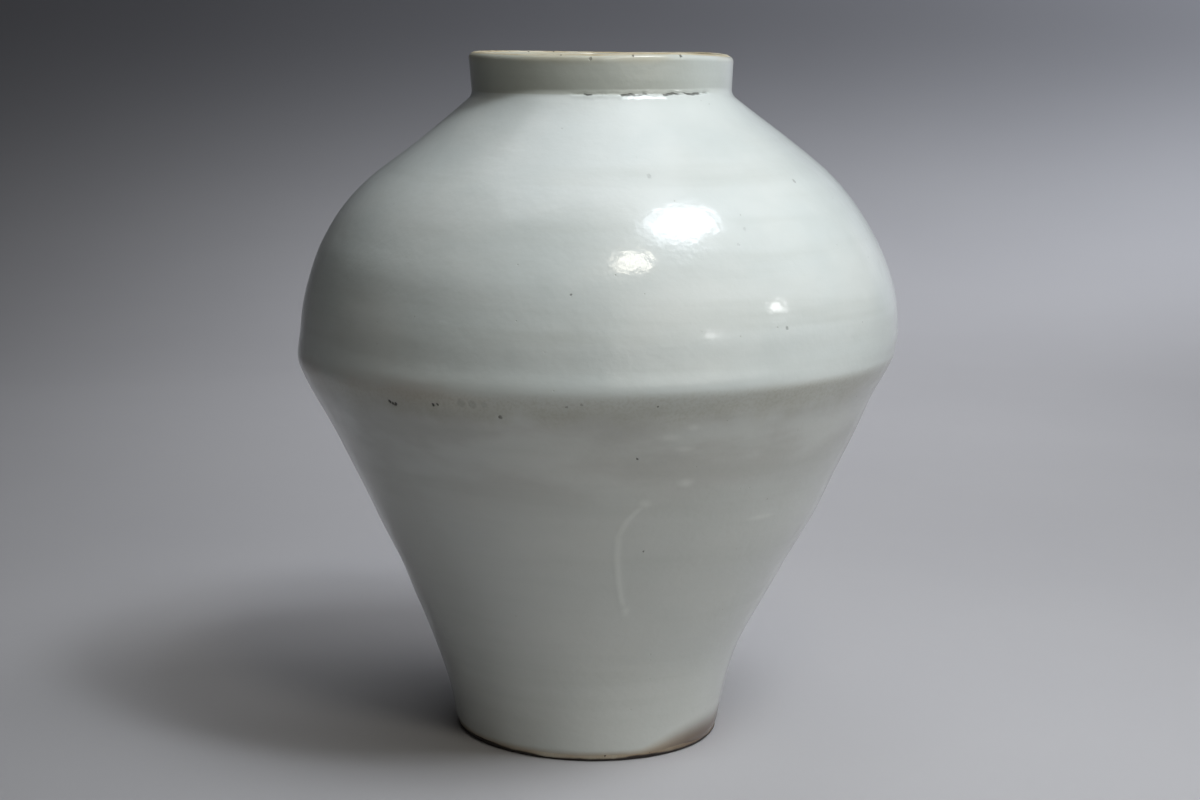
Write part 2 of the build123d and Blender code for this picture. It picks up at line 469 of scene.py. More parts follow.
def ramp(value, start, end):
    """Rises smoothly from 0 at start to 1 at end."""
    part = np.clip((value - start) / (end - start), 0, 1)
    return part * part * (3 - 2 * part)


def azimuth(points):
    return np.degrees(np.arctan2(points[..., 0], -points[..., 1]))


def turn_gap(points, place):
    """Degrees round the jar from a place."""
    return (azimuth(points) - place + 180) % 360 - 180


def above_seam(points):
    """Height above the leaning plane of the seam."""
    return points[..., 2] - SEAM_HEIGHT - points[..., 0] * tan(SEAM_LEAN)


def above_neck(points):
    """Height above the collar's foot, along the leaning axis of the upper half."""
    rise = (points[..., 2] - SEAM_MIDDLE) * cos(UPPER_LEAN)
    side = (points[..., 0] - SEAM_SHIFT) * sin(UPPER_LEAN)
    return rise - side - NECK_RISE


def turned(radius, height, angles):
    """Points about the Z axis, one row for each point of a line and one column for each angle."""
    radius, height, angles = np.broadcast_arrays(radius, height, angles)
    return np.stack([radius * np.sin(angles), -radius * np.cos(angles), height], axis=-1)


def lower_half(line, angles):
    """A line of the lower half turned about the foot's axis and drawn up to the leaning seam."""
    radius, height = line[:, :1], line[:, 1:]
    climb = np.sin(angles) * tan(SEAM_LEAN)
    rise = BELLY_RADIUS * climb / (1 - FLANK_SLOPE * climb)
    rise = rise * np.clip((height - KNEE_HEIGHT) / (SEAM_HEIGHT - KNEE_HEIGHT), 0, 1)
    return turned(radius + FLANK_SLOPE * rise, height + rise, angles)


def upper_half(line, angles):
    """A line of the upper half turned about its leaning axis, with its foot cut to the seam."""
    radius, height = line[:, :1], line[:, 1:]
    height = height + SEAM_TILT * np.sin(angles) * np.clip(1 - height / BELLY_BAND, 0, 1)
    points = turned(radius, height, angles)
    lean = np.array(Matrix.Rotation(-UPPER_LEAN, 3, "Y"))
    return points @ lean.T + np.array([SEAM_SHIFT, 0, SEAM_MIDDLE])


def rim_dip(points):
    """How far the rim sinks, from nothing at the collar's foot."""
    dip = sum(depth * hump(turn_gap(points, place) / reach) for place, reach, depth in RIM_DIPS)
    return dip * ramp(above_neck(points), RIM_DIP_FROM, COLLAR_HEIGHT)


def neck_lift(points):
    """How far the shoulder climbs up the front of the collar."""
    around = azimuth(points)
    in_front = ramp(around, NECK_LIFT_FROM - NECK_LIFT_FADE, NECK_LIFT_FROM)
    in_front = in_front * ramp(around, NECK_LIFT_TO + NECK_LIFT_FADE, NECK_LIFT_TO)
    return NECK_LIFT * hump(above_neck(points) / NECK_LIFT_REACH) * in_front


def worked(points):
    """Points moved by what the potter's hands and the kiln did to the round form."""
    height = points[..., 2]
    radius = np.hypot(points[..., 0], points[..., 1])
    out = np.stack([points[..., 0], points[..., 1], 0 * height], axis=-1) / radius[..., None]
    sway = sum(amount * hump((height - place) / reach) for place, reach, amount in SWAYS) * out[..., 0]
    swell = 0
    for turn, width, place, reach, amount in SWELLS:
        swell = swell + amount * hump(turn_gap(points, turn) / width) * hump((height - place) / reach)
    unround = UNROUND * field(out + UNROUND_CLIMB * points, UNROUND_WAVES)
    held = np.clip(radius / HELD_RADIUS, 0, 1) * np.clip(height / HELD_HEIGHT, 0, 1)
    moved = points + out * ((sway + swell + unround) * held)[..., None]
    moved[..., 2] += neck_lift(points) - rim_dip(points)
    return moved


def upward(points):
    """Unit vectors along the columns of a grid."""
    up = np.gradient(points, axis=0)
    return up / np.linalg.norm(up, axis=-1, keepdims=True)


def outward(points):
    """Unit normals of a grid whose rows go up and columns go round."""
    across = np.roll(points, -1, axis=1) - np.roll(points, 1, axis=1)
    normals = np.cross(across, upward(points))
    return normals / np.linalg.norm(normals, axis=-1, keepdims=True)


def softened(points, weights, steps):
    """Grid with its rows drawn towards their neighbours above and below, as far as the weights say."""
    weights = weights[1:-1, :, None]
    for _ in range(steps):
        middle = points[1:-1] * (1 - weights) + (points[:-2] + points[2:]) / 2 * weights
        points = np.concatenate([points[:1], middle, points[-1:]])
    return points


def round_angles(count, front=0.0):
    """Angles all the way round; front, from 0 to 1, draws them closer together at the front."""
    angles = np.linspace(-np.pi, np.pi, count, endpoint=False)
    return angles - front * np.sin(angles)


def ring_faces(rows, columns, joins):
    """Four-sided faces between the rings of a grid; joins also ties the last ring to the first."""
    row = np.arange(rows if joins else rows - 1)[:, None]
    column = np.arange(columns)[None, :]
    beside, above = (column + 1) % columns, (row + 1) % rows
    corners = [(row, column), (row, beside), (above, beside), (above, column)]
    return np.stack([r * columns + c for r, c in corners], axis=-1).reshape(-1, 4).tolist()


def smooth_object(name, points, faces, material):
    mesh = bpy.data.meshes.new(name)
    mesh.from_pydata(points.reshape(-1, 3).tolist(), [], faces)
    mesh.shade_smooth()
    mesh.set_sharp_from_angle(angle=EDGE_TURN)
    mesh.materials.append(material)
    made = bpy.data.objects.new(name, mesh)
    bpy.context.scene.collection.objects.link(made)
    return made


def piece(name, node, material, points, ends_on_axis=False):
    """Piece from a grid of rings. Its last ring joins the first, or both ends are closed on the axis."""
    rows, columns = points.shape[:2]
    faces = ring_faces(rows, columns, not ends_on_axis)
    if ends_on_axis:
        faces.append(list(range(columns))[::-1])
        faces.append(list(range((rows - 1) * columns, rows * columns)))
    made = smooth_object(name, points, faces, material)
    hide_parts(node)
    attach(made, "root")


# Materials

def tint(red, green, blue):
    """Colour as it shows on a screen, each part from 0 to 255."""
    parts = np.array([red, green, blue]) / 255
    linear = np.where(parts > 0.04045, ((parts + 0.055) / 1.055) ** 2.4, parts / 12.92)
    return (*linear.tolist(), 1)


class Paint:
    """Nodes of one material. Each call adds a node and returns its output."""

    def __init__(self, name):
        self.material = bpy.data.materials.new(name)
        self.material.use_nodes = True
        self.tree = self.material.node_tree
        self.shader = self.tree.nodes["Principled BSDF"]
        self.place = self.node("ShaderNodeTexCoord").outputs["Object"]
        self.x, self.y, self.z = self.node("ShaderNodeSeparateXYZ", [self.place]).outputs
        self.azimuth = self.calc("ARCTAN2", self.x, self.calc("MULTIPLY", self.y, -1))
        self.radius = self.vector("LENGTH", self.vector("MULTIPLY", self.place, (1, 1, 0)))
        self.unrolled = self.node("ShaderNodeCombineXYZ", [self.azimuth, self.z]).outputs[0]

    def node(self, kind, inputs=(), **settings):
        node = self.tree.nodes.new(kind)
        for name, value in settings.items():
            setattr(node, name, value)
        for key, value in (inputs.items() if isinstance(inputs, dict) else enumerate(inputs)):
            self.feed(node.inputs[key], value)
        return node

    def feed(self, socket, value):
        if isinstance(value, bpy.types.NodeSocket):
            self.tree.links.new(value, socket)
        else:
            socket.default_value = value

    def finish(self, **inputs):
        """Feeds the shader's sockets and returns the material."""
        for name, value in inputs.items():
            self.feed(self.shader.inputs[name.replace("_", " ").title().replace("Ior", "IOR")], value)
        return self.material

    def calc(self, operation, *values):
        return self.node("ShaderNodeMath", values, operation=operation).outputs[0]

    def vector(self, operation, *values):
        node = self.node("ShaderNodeVectorMath", values, operation=operation)
        return node.outputs["Value" if operation == "LENGTH" else "Vector"]

    def wall_gap(self, turn, height, round_scale, rise_scale):
        """Distance on the unrolled wall from an azimuth and a height, scaled round the jar and upward."""
        scale = self.node("ShaderNodeCombineXYZ", [round_scale, rise_scale]).outputs[0]
        gap = self.vector("SUBTRACT", self.unrolled, (radians(turn), height, 0))
        return self.vector("LENGTH", self.vector("MULTIPLY", gap, scale))

    def between(self, value, start, end):
        """0 at start and 1 at end, smoothly."""
        inputs = {"Value": value, "From Min": start, "From Max": end}
        return self.node("ShaderNodeMapRange", inputs, interpolation_type="SMOOTHSTEP").outputs[0]

    def facing(self, turn, full, reach):
        """1 within full degrees of an azimuth, fading to 0 at reach degrees from it."""
        nearness = self.calc("COSINE", self.calc("SUBTRACT", self.azimuth, radians(turn)))
        return self.between(nearness, cos(radians(reach)), cos(radians(full)))

    def blend(self, factor, under, over):
        inputs = {"Factor": factor, 6: under, 7: over}
        return self.node("ShaderNodeMix", inputs, data_type="RGBA").outputs[2]

    def wash(self, colour, mask, strength, over):
        """Colour with another laid over it where the mask is, as far as the strength says."""
        return self.blend(self.calc("MULTIPLY", mask, strength), colour, over)

    def waves(self, x, y, z):
        """Place counted in waves per metre along each axis."""
        return self.vector("MULTIPLY", self.place, (x, y, z))

    def clouds(self, x, y, z, detail=2):
        inputs = {"Vector": self.waves(x, y, z), "Scale": 1, "Detail": detail}
        return self.node("ShaderNodeTexNoise", inputs).outputs[0]

    def dots(self, waves, radius, share):
        """Small round dots, in that share of the cells of an uneven grid; the radius is in cells."""
        inputs = {"Vector": self.waves(waves, waves, waves), "Scale": 1}
        cells = self.node("ShaderNodeTexVoronoi", inputs).outputs
        draw = self.node("ShaderNodeSeparateXYZ", [cells["Color"]]).outputs[0]
        dot = self.between(cells["Distance"], radius, radius * 0.6)
        return self.calc("MULTIPLY", self.calc("LESS_THAN", draw, share), dot)

    def bump(self, height, distance, under=None):
        inputs = {"Height": height, "Distance": distance, "Strength": 1}
        if under:
            inputs["Normal"] = under
        return self.node("ShaderNodeBump", inputs).outputs[0]


def pit_marks(paint):
    """Dark pits and smudges, as one mask over the unrolled wall."""
    ragged = paint.calc("MULTIPLY_ADD", paint.clouds(900, 900, 900), PIT_RAGGED, -PIT_RAGGED / 2)
    mask = 0.0
    for turn, height, radius, darkness in PITS:
        gap = paint.calc("ADD", paint.wall_gap(turn, height, paint.radius, 1.0), ragged)
        spot = paint.calc("MULTIPLY", paint.between(gap, radius, radius * 0.5), darkness)
        mask = paint.calc("MAXIMUM", spot, mask)
    return mask


def pale_drops(paint):
    """Drops where the glaze is thick and white, as one mask."""
    mask = 0.0
    for turn, height, reach, climb, strength in DROPS:
        gap = paint.wall_gap(turn, height, 1 / radians(reach), 1 / climb)
        spot = paint.calc("MULTIPLY", paint.between(gap, 1.7, 0.0), strength)
        mask = paint.calc("MAXIMUM", spot, mask)
    return mask


def pale_run(paint):
    """Thick white line of the glaze run, along its path."""
    turn = radians(RUN_PATH[0][0])
    for (start_turn, start), (end_turn, end) in zip(RUN_PATH, RUN_PATH[1:]):
        sweep = radians(end_turn - start_turn)
        inputs = {"Value": paint.z, "From Min": start, "From Max": end, "To Max": sweep}
        turn = paint.calc("ADD", paint.node("ShaderNodeMapRange", inputs).outputs[0], turn)
    gap = paint.calc("ABSOLUTE", paint.calc("SUBTRACT", paint.azimuth, turn))
    line = paint.between(gap, radians(RUN_REACH * 1.5), radians(RUN_REACH * 0.2))
    low, high = RUN_PATH[0][1], RUN_PATH[-1][1]
    start = paint.between(paint.z, low, low + RUN_FADE_LOW)
    end = paint.between(paint.z, high, high - RUN_FADE_HIGH)
    return paint.calc("MULTIPLY", line, paint.calc("MULTIPLY", start, end))


def seam_gap(paint):
    """Height above the leaning plane of the seam."""
    seam = paint.calc("MULTIPLY_ADD", paint.x, tan(SEAM_LEAN), SEAM_HEIGHT)
    return paint.calc("SUBTRACT", paint.z, seam)


def seam_stain(paint, patches):
    """Dirt and thin glaze in the band under the belly's ridge, with a ragged lower edge."""
    gap = seam_gap(paint)
    ragged = paint.calc("MULTIPLY_ADD", paint.clouds(40, 40, 12, 3), STAIN_RAGGED, -STAIN_RAGGED / 2)
    fading = paint.between(paint.calc("ADD", gap, ragged), *STAIN_FOOT)
    band = paint.calc("MULTIPLY", paint.between(gap, *STAIN_TOP), fading)
    grains = paint.between(paint.clouds(600, 600, 600, 4), 0.4, 0.7)
    dirt = paint.calc("MULTIPLY_ADD", grains, 0.35, paint.between(patches, -0.2, 0.8))
    return paint.calc("MULTIPLY", band, dirt)


def flank_wash(paint):
    """Wide dull smudges where the glaze is thin, on the upper part of the flank."""
    gap = seam_gap(paint)
    band = paint.calc("MULTIPLY", paint.between(gap, *WASH_TOP), paint.between(gap, *WASH_FOOT))
    return paint.calc("MULTIPLY", band, paint.between(paint.clouds(13, 13, 34, 4), 0.38, 0.62))


def seam_rust(paint, patches):
    """Rusty tinge along the ridge on the left."""
    band = paint.between(paint.calc("ABSOLUTE", seam_gap(paint)), *RUST_BAND)
    rusty = paint.calc("MULTIPLY", band, paint.facing(*RUST_SIDE))
    return paint.calc("MULTIPLY", rusty, paint.between(patches, 0.3, 0.7))


def lip_wear(paint, patches):
    """Yellowed edge where the glaze has worn thin under the lip."""
    edge = paint.between(neck_height(paint), COLLAR_HEIGHT - WEAR_FROM, COLLAR_HEIGHT - WEAR_FULL)
    return paint.calc("MULTIPLY", edge, paint.between(patches, 0.35, 0.6))


def neck_height(paint):
    """Height above the collar's foot, along the leaning axis of the upper half."""
    at_axis = SEAM_SHIFT * sin(UPPER_LEAN) - NECK_RISE
    side = paint.calc("MULTIPLY_ADD", paint.x, -sin(UPPER_LEAN), at_axis)
    rise = paint.calc("SUBTRACT", paint.z, SEAM_MIDDLE)
    return paint.calc("MULTIPLY_ADD", rise, cos(UPPER_LEAN), side)


def break_shade_line(paint):
    """Ragged dark line along the collar's foot where the glaze has broken away, painted as the shade in
    its groove.
    """
    ragged = BREAK_RISE
    for waves, start, amount in BREAK_WAVES:
        swing = paint.calc("SINE", paint.calc("MULTIPLY_ADD", paint.azimuth, waves, start))
        ragged = paint.calc("MULTIPLY_ADD", swing, amount, ragged)
    gap = paint.calc("ABSOLUTE", paint.calc("SUBTRACT", neck_height(paint), ragged))
    line = paint.between(gap, *BREAK_LINE)
    broken = paint.between(paint.clouds(90, 90, 20), 0.44, 0.54)
    start = paint.between(paint.azimuth, radians(BREAK_FROM), radians(BREAK_FROM + BREAK_SHADE_FADE))
    end = paint.between(paint.azimuth, radians(BREAK_TO), radians(BREAK_TO - BREAK_FADE))
    ends = paint.calc("MULTIPLY", start, end)
    return paint.calc("MULTIPLY", paint.calc("MULTIPLY", line, broken), ends)


def foot_burn(paint, patches):
    """Brown scorch on the right of the foot, and a thin warm edge all round it."""
    climb = paint.calc("MULTIPLY_ADD", paint.facing(*BURN_SIDE), BURN_HEIGHT, BURN_EDGE)
    low = paint.between(paint.calc("DIVIDE", paint.z, climb), 1.0, 0.3)
    return paint.calc("MULTIPLY", low, paint.between(patches, 0.1, 0.5))


def glaze_ground(paint, patches):
    """White of the glaze: clouded, with painted shade on the flank and on the collar's left and front,
    and streaked by the wheel.
    """
    colour = paint.blend(paint.between(patches, 0.3, 0.7), tint(206, 213, 210), tint(214, 219, 215))
    # Painted shade: the flank below the seam faces down, away from the lamps, and is darkened to a
    # slightly warmer grey
    flank = paint.between(paint.z, FLANK_SHADE_FROM, FLANK_SHADE_FULL)
    colour = paint.wash(colour, flank, 0.6, tint(184, 185, 178))
    # Painted shade on the upright collar's left and front, the side turned away from the key lamp
    collar = paint.between(neck_height(paint), BREAK_RISE - COLLAR_SHADE_EDGE, BREAK_RISE + COLLAR_SHADE_EDGE)
    collar = paint.calc("MULTIPLY", collar, paint.facing(*SHADED_COLLAR_SIDE))
    colour = paint.wash(colour, collar, 0.7, tint(174, 177, 165))
    streaks = paint.between(paint.clouds(5, 5, 90, 4), 0.42, 0.85)
    colour = paint.wash(colour, streaks, 0.26, tint(168, 173, 164))
    return paint.wash(colour, paint.clouds(60, 60, 90, 3), 0.14, tint(158, 164, 154))


def glaze_marks(paint, colour, patches):
    """Colour of the glaze with its smudges, drops, stains and wear laid over it."""
    colour = paint.wash(colour, flank_wash(paint), 0.34, tint(142, 138, 130))
    pale = paint.calc("MAXIMUM", pale_drops(paint), paint.calc("MULTIPLY", pale_run(paint), 0.7))
    colour = paint.wash(colour, pale, 0.36, tint(226, 229, 222))
    colour = paint.wash(colour, seam_stain(paint, patches), 0.40, tint(138, 130, 98))
    colour = paint.wash(colour, seam_rust(paint, patches), 0.25, tint(148, 116, 82))
    return paint.wash(colour, lip_wear(paint, patches), 0.5, tint(190, 178, 140))


def glaze_relief(paint, holes):
    """Soft waves, wheel lines, fine ripples and holes of the glaze's surface."""
    normal = paint.bump(paint.clouds(75, 75, 95, 3), 0.00025)
    normal = paint.bump(paint.clouds(4, 4, 330, 2), 0.00003, normal)
    normal = paint.bump(paint.clouds(260, 260, 260, 3), 0.00008, normal)
    return paint.bump(holes, -0.0006, normal)


def white_glaze():
    """Bluish white glaze: clouded, stained, burnt at the foot, specked with iron and pitted, with painted
    shade on the flank, the collar and the crack at the collar's foot.
    """
    paint = Paint("white_glaze")
    patches = paint.clouds(14, 14, 22, 4)
    colour = glaze_marks(paint, glaze_ground(paint, patches), patches)
    burn = foot_burn(paint, patches)
    burnt = paint.blend(paint.facing(*BURN_SIDE), tint(176, 160, 134), tint(90, 68, 50))
    colour = paint.wash(colour, burn, 0.9, burnt)
    colour = paint.wash(colour, paint.dots(70, 0.05, 0.10), 0.35, tint(92, 84, 66))
    pinholes = paint.dots(190, 0.10, 0.05)
    colour = paint.wash(colour, pinholes, 0.3, tint(120, 118, 104))
    # Dark pits, and the painted shade of the crack at the collar's foot
    dark = paint.calc("MAXIMUM", pit_marks(paint), paint.calc("MULTIPLY", break_shade_line(paint), 0.8))
    colour = paint.wash(colour, dark, 0.92, tint(44, 42, 32))
    rough = paint.calc("MULTIPLY_ADD", patches, 0.1, 0.3)
    rough = paint.calc("MULTIPLY_ADD", paint.calc("MAXIMUM", dark, burn), 0.4, rough)
    holes = paint.calc("ADD", dark, paint.calc("MULTIPLY", pinholes, 0.3))
    normal = glaze_relief(paint, holes)
    paint.finish(coat_weight=0.8, coat_roughness=0.10, coat_ior=1.5, coat_normal=normal)
    return paint.finish(base_color=colour, roughness=rough, normal=normal, ior=1.45)


def bare_clay():
    """Porcelain where the glaze stops: cream at the worn lip, burnt brown at the foot, with painted shade
    on the foot's left and a painted contact shadow along its bottom.
    """
    paint = Paint("porcelain_body")
    patches = paint.clouds(35, 35, 35, 4)
    grain = paint.clouds(900, 900, 900, 3)
    grit = paint.dots(260, 0.22, 0.12)
    burnt = paint.blend(paint.between(patches, 0.35, 0.65), tint(198, 190, 170), tint(178, 160, 134))
    cream = paint.blend(paint.between(patches, 0.35, 0.7), tint(202, 196, 174), tint(176, 162, 130))
    colour = paint.blend(paint.between(paint.z, FOOT_CLAY, LIP_CLAY), burnt, cream)
    # Painted shade on the foot's left, the side away from the lamps, laid with the real burn on the right
    shaded_side = paint.facing(*SHADED_FOOT_SIDE)
    burn_and_shade = paint.calc("MAXIMUM", paint.facing(*BURN_SIDE), paint.calc("MULTIPLY", shaded_side, 0.7))
    burn_and_shade = paint.calc("MULTIPLY", burn_and_shade, paint.between(paint.z, LIP_CLAY, FOOT_CLAY))
    colour = paint.wash(colour, burn_and_shade, 0.8, tint(108, 86, 66))
    colour = paint.wash(colour, grain, 0.25, tint(120, 104, 84))
    # Painted contact shadow: a dark band along the bottom of the foot, climbing higher on the shaded left
    contact_shade = paint.calc("MULTIPLY_ADD", patches, CONTACT_SHADE_CLIMB, paint.calc("MULTIPLY", shaded_side, CONTACT_SHADE_MORE))
    above_contact_shade = paint.calc("SUBTRACT", paint.z, contact_shade)
    colour = paint.blend(paint.between(above_contact_shade, *CONTACT_SHADE_EDGE), colour, tint(40, 32, 26))
    colour = paint.wash(colour, grit, 0.8, tint(62, 52, 42))
    rough = paint.calc("MULTIPLY_ADD", grain, 0.3, 0.45)
    normal = paint.bump(grain, 0.0002)
    normal = paint.bump(grit, -0.0004, normal)
    return paint.finish(base_color=colour, roughness=rough, normal=normal)


def luting_slip():
    """Dried slip of the same clay, smeared round the joints."""
    paint = Paint("luting_slip")
    smears = paint.clouds(12, 12, 200, 3)
    grain = paint.clouds(700, 700, 700, 3)
    colour = paint.blend(smears, tint(206, 196, 174), tint(178, 164, 140))
    colour = paint.wash(colour, grain, 0.3, tint(140, 126, 104))
    rough = paint.calc("MULTIPLY_ADD", grain, 0.3, 0.55)
    normal = paint.bump(smears, 0.0004)
    return paint.finish(base_color=colour, roughness=rough, normal=normal)


def studio_paper():
    """Pale grey paper of the floor, with painted shade that darkens it as it climbs the wall and to the
    left.
    """
    paint = Paint("studio_paper")
    mottle = paint.clouds(3, 3, 3, 4)
    colour = paint.blend(mottle, tint(173, 172, 174), tint(181, 180, 181))
    # Painted shade: the paper darkens up the wall and to the left, where less light reaches
    colour = paint.wash(colour, paint.between(paint.z, 0.0, PAPER_SHADE_HEIGHT), 0.84, tint(92, 92, 95))
    colour = paint.wash(colour, paint.between(paint.x, 0.0, PAPER_SHADE_LEFT), 0.5, tint(80, 80, 83))
    return paint.finish(base_color=colour, roughness=0.7)


# Pieces

def lower_bowl(clay):
    """Lower bowl with its bevelled foot ring and recess, open at the seam."""
    ring_inside = FOOT_RADIUS - FOOT_RING_WIDTH
    foot = rounded_line([
        (AXIS_GAP, RECESS_DEPTH),
        (ring_inside - RECESS_DRAFT, RECESS_DEPTH),
        (ring_inside, 0),
        (FOOT_RADIUS - FOOT_BEVEL, 0),
        foot_edge,
    ], FOOT_ROUND)
    rim_drop = np.array([0, FILM / 2])
    outside = even(flank_line, CLAY_ROWS)
    outside[-1] -= rim_drop
    inside = even(bowl_line, CLAY_ROWS)
    inside[-1] -= rim_drop
    section = joined(foot, outside, straight(outside[-1], inside[-1]), inside[::-1])
    points = worked(lower_half(section, round_angles(CLAY_COLUMNS)))
    piece("lower_bowl_clay", "lower_bowl", clay, points, ends_on_axis=True)


def upper_bowl(clay):
    """Domed upper bowl, cut flat at the mouth as a seat for the collar."""
    rim_rise = np.array([0, FILM / 2])
    outside = even(dome_line, CLAY_ROWS)
    outside[0] += rim_rise
    outside[-1] -= up_shoulder * FILM / sin(SHOULDER_PITCH)
    inside = even(hollow_line, HOLLOW_ROWS)
    inside[0] += rim_rise
    seat = straight(outside[-1], bore_neck - [0, FILM])
    section = joined(outside, seat, straight(seat[-1], inside[-1]), inside[::-1])
    points = worked(upper_half(section, round_angles(CLAY_COLUMNS)))
    piece("upper_bowl_clay", "upper_bowl", clay, points)


def neck_collar(clay):
    """Upright collar with a rounded, worn lip."""
    section = joined(
        straight(neck, outer_lip_turn[0], 10),
        outer_lip_turn,
        straight(outer_lip_turn[-1], inner_lip_turn[0]),
        inner_lip_turn,
        straight(inner_lip_turn[-1], bore_neck, 10),
    )
    points = worked(upper_half(section, round_angles(COAT_COLUMNS, FRONT_DRAW)))
    bare = above_neck(points) > COLLAR_HEIGHT - LIP_ROUND
    grain = LIP_GRAIN * bare * field(points, LIP_GRAIN_WAVES, seed=5)
    points += outward(points) * grain[..., None]
    piece("collar_clay", "neck_collar", clay, points)


def bead_swell(rise):
    """How far the slip of the belly joint stands into the jar at a height above the seam."""
    return BEAD_DEPTH * np.clip(1 - np.square(rise / BEAD_REACH), 0, 1)


def belly_luting(slip):
    """Film of slip between the two rims, and the bead that was squeezed out of it into the jar."""
    film_edge = BELLY_RADIUS - FILM_SETBACK
    below = np.linspace(-BEAD_REACH, 0, BEAD_ROWS)
    above = np.linspace(0, BEAD_REACH, BEAD_ROWS)[1:]
    film_foot = straight((film_edge, SEAM_HEIGHT - FILM / 2), (INSIDE_RADIUS, SEAM_HEIGHT - FILM / 2))
    lower_face = INSIDE_RADIUS + FLANK_SLOPE * below - bead_swell(below)
    lower_bead = np.stack([lower_face, SEAM_HEIGHT + below], axis=1)
    upper_bead = np.stack([BELLY_RADIUS - WALL - bead_swell(above), above], axis=1)
    film_top = straight((BELLY_RADIUS - WALL, FILM / 2), (film_edge, FILM / 2))
    angles = round_angles(CLAY_COLUMNS)
    lower_rows = lower_half(np.concatenate([film_foot, lower_bead]), angles)
    upper_rows = upper_half(np.concatenate([upper_bead, film_top]), angles)
    points = worked(np.concatenate([lower_rows, upper_rows]))[::-1]
    piece("belly_luting_slip", "belly_luting", slip, points)


def neck_luting(slip):
    """Film of slip under the collar, drawn out into a fillet on the shoulder."""
    seat_edge = neck - up_shoulder * FILM / sin(SHOULDER_PITCH)
    section = np.array([*neck_turn, neck, bore_neck, bore_neck - [0, FILM], seat_edge])
    points = worked(upper_half(section, round_angles(CLAY_COLUMNS)))
    piece("neck_luting_slip", "neck_luting", slip, points)


def seam_roll(points):
    """Thick glaze that hangs over the seam, most at the front, and the dent above it."""
    rise = above_seam(points)
    at_front = ROLL_BEHIND + (1 - ROLL_BEHIND) * hump(turn_gap(points, 0) / ROLL_FRONT)
    roll = ROLL_SWELL * hump((rise - ROLL_RISE) / ROLL_REACH) * at_front
    return roll - DENT_DEPTH * hump((rise - DENT_RISE) / DENT_REACH)


def drop_swell(points):
    """How far the pale drops and the run stand out."""
    height = points[..., 2]
    turns, heights = np.array(RUN_PATH).T
    run = hump(turn_gap(points, np.interp(height, heights, turns)) / RUN_REACH)
    swell = run * ramp(height, heights[0], heights[1]) * ramp(height, heights[-1], heights[-2])
    for turn, place, reach, climb, strength in DROPS:
        swell = swell + strength * hump(turn_gap(points, turn) / reach) * hump((height - place) / climb)
    return DROP_SWELL * swell


def neck_tear(points):
    """Groove and raised lip where the glaze has broken away along the collar's foot."""
    around = azimuth(points)
    turn = np.radians(around)
    ragged = sum(amount * np.sin(waves * turn + start) for waves, start, amount in BREAK_WAVES)
    gap = above_neck(points) - BREAK_RISE - ragged
    groove = BREAK_DEPTH * hump(gap / BREAK_REACH)
    lip = BREAK_LIP * hump((gap + BREAK_LIP_DROP) / BREAK_LIP_REACH)
    start = ramp(around, BREAK_FROM - BREAK_FADE, BREAK_FROM + BREAK_FADE)
    end = ramp(around, BREAK_TO + BREAK_FADE, BREAK_TO - BREAK_FADE)
    return (lip - groove) * start * end


def outer_depth(points):
    """Thickness of the outer glaze: wavy, swollen over the seam and broken along the collar's foot."""
    depth = GLAZE
    for seed, (waves, amount) in enumerate(GLAZE_WAVES, start=1):
        depth = depth + amount * field(points, waves, seed)
    return depth + seam_roll(points) + drop_swell(points) + neck_tear(points)


def foot_edge_lift(points):
    """How far the lower edge of the outer coat wanders up and down the foot."""
    lift = 0
    for seed, (waves, amount) in enumerate(FOOT_EDGE_WAVES, start=6):
        lift = lift + amount * field(points, (waves, waves, 0), seed)
    return lift * ramp(points[..., 2] - GLAZE_LINE, FOOT_EDGE_FADE, 0)


def outer_rows():
    """Lines of the outer coat below and above the seam, one point for each row."""
    end = length(flank_line)
    stops = (GLAZE_LINE - FOOT_BEVEL, FINE_FOOT, end - FINE_BELOW_SEAM, end)
    low = resampled(flank_line, row_places(stops, LOWER_STEPS))
    neck_place = length(dome_line) - np.linalg.norm(neck - neck_turn[0])
    upper_line = joined(
        resampled(dome_line, np.linspace(0, neck_place, 200)),
        neck_turn,
        straight(neck_turn[-1], outer_lip_turn[0], 20),
        outer_lip_turn[:OUTER_LIP_COVER],
    )
    end = length(upper_line)
    by_neck = (neck_place - FINE_BELOW_NECK, neck_place + FINE_ABOVE_NECK)
    stops = (0, FINE_ABOVE_SEAM, *by_neck, end - FINE_LIP, end)
    return low, resampled(upper_line, row_places(stops, UPPER_STEPS))


def outer_glaze(glaze):
    """Coat of the outside, from its uneven line above the foot to the lip."""
    low, high = outer_rows()
    angles = round_angles(COAT_COLUMNS, FRONT_DRAW)
    clay = worked(np.concatenate([lower_half(low, angles), upper_half(high[1:], angles)]))
    clay += upward(clay) * foot_edge_lift(clay)[..., None]
    steps = np.linalg.norm(np.diff(clay, axis=0), axis=-1).mean(axis=1)
    along = np.concatenate([[0], np.cumsum(steps)])
    from_end = np.minimum(along, along[-1] - along)
    taper = np.sqrt(np.clip(from_end / COAT_TAPER, COAT_LEAST, 1))
    face = clay + outward(clay) * (outer_depth(clay) * taper[:, None])[..., None]
    face = softened(face, SOFT_SHARE * hump(above_seam(face) / SOFT_REACH), SOFT_STEPS)
    back = clay[::-BACK_STRIDE] - outward(clay)[::-BACK_STRIDE] * COAT_LAP
    piece("outer_glaze_coat", "outer_glaze", glaze, np.concatenate([face, back]))


